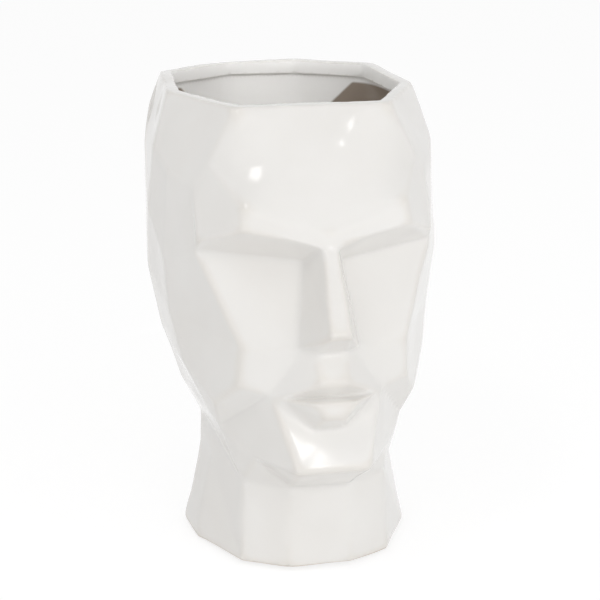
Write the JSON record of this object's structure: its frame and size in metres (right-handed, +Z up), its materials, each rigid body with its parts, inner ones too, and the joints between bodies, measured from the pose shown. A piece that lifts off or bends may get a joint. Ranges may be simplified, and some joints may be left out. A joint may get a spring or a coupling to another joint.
{
  "type": "face planter",
  "caption": "Glazed ceramic planter in the form of a faceted, eyeless head, open at the crown for soil or a liner, with a lift-out drain stopper and felt pads under the foot.",
  "frame": {"origin": "middle of the base on the table under the pads, which is the bottom centre of the bounding box", "axes": "+Z up, -Y the way the face looks, +X to the viewer's right as they face it"},
  "size_m": [0.193, 0.266, 0.303],
  "materials": {
    "glaze": "gloss warm white glaze",
    "stopper_rubber": "matte",
    "pad_felt": "pressed felt"
  },
  "bodies": {
    "pot": {"planter_body": "glaze", "foot_pad_front_left": "pad_felt", "foot_pad_front_right": "pad_felt", "foot_pad_back_left": "pad_felt", "foot_pad_back_right": "pad_felt"},
    "stopper": {"drain_plug": "stopper_rubber"}
  },
  "joints": [
    {"name": "stopper_lift", "type": "slide", "parent": "pot", "child": "stopper", "axis": [0, 0, 1], "range_m": [0, 0.31]}
  ]
}
